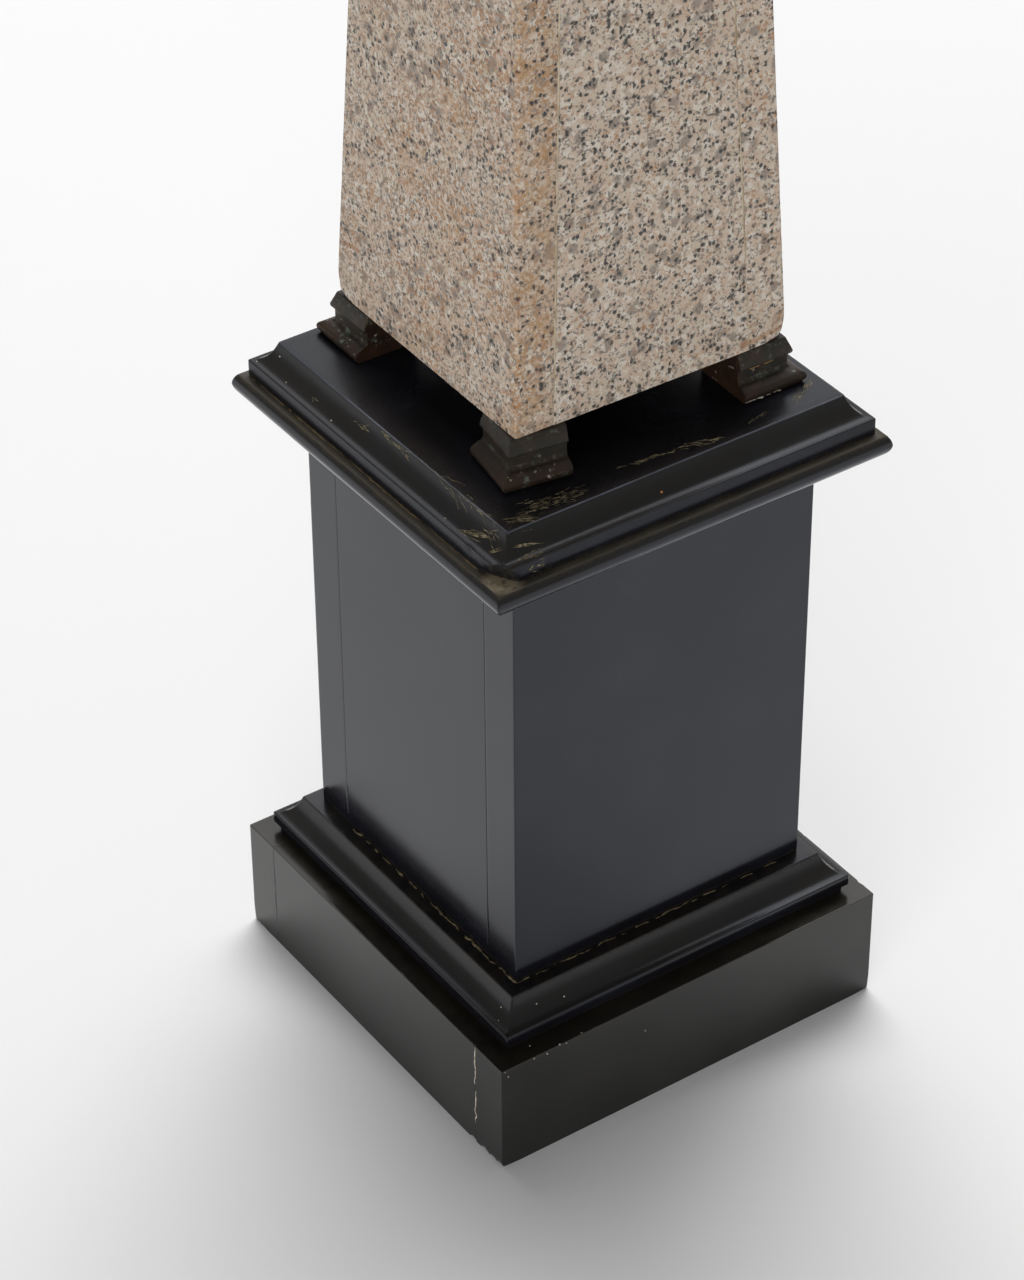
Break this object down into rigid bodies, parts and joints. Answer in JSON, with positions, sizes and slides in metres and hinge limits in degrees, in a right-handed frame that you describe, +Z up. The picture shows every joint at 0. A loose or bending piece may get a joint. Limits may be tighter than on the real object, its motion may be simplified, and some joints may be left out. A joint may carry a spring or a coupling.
{
  "type": "ornamental obelisk on a pedestal",
  "caption": "Slender granite obelisk built of slabs, raised on moulded bronze feet over a hollow black marble pedestal with a moulded base and cornice.",
  "frame": {"origin": "middle of the underside of the base", "axes": "+Z up the shaft, -Y towards the front, +X to the right"},
  "size_m": [0.24, 0.24, 1.196],
  "materials": {
    "black_marble": "honed and waxed, with fine gold veins",
    "granite": "fine-dressed, pinkish beige with black flecks",
    "bronze": "dark brown patina with traces of green"
  },
  "bodies": {
    "root": {"base_front_slab": "black_marble", "base_back_slab": "black_marble", "base_left_slab": "black_marble", "base_right_slab": "black_marble", "base_moulding": "black_marble", "die_front_slab": "black_marble", "die_back_slab": "black_marble", "die_left_slab": "black_marble", "die_right_slab": "black_marble", "cornice_nosing": "black_marble", "cornice_moulding": "black_marble", "front_left_foot": "bronze", "front_right_foot": "bronze", "back_left_foot": "bronze", "back_right_foot": "bronze", "shaft_left_slab": "granite", "shaft_right_slab": "granite", "shaft_front_slab": "granite", "shaft_back_slab": "granite", "capstone": "granite"}
  },
  "joints": []
}
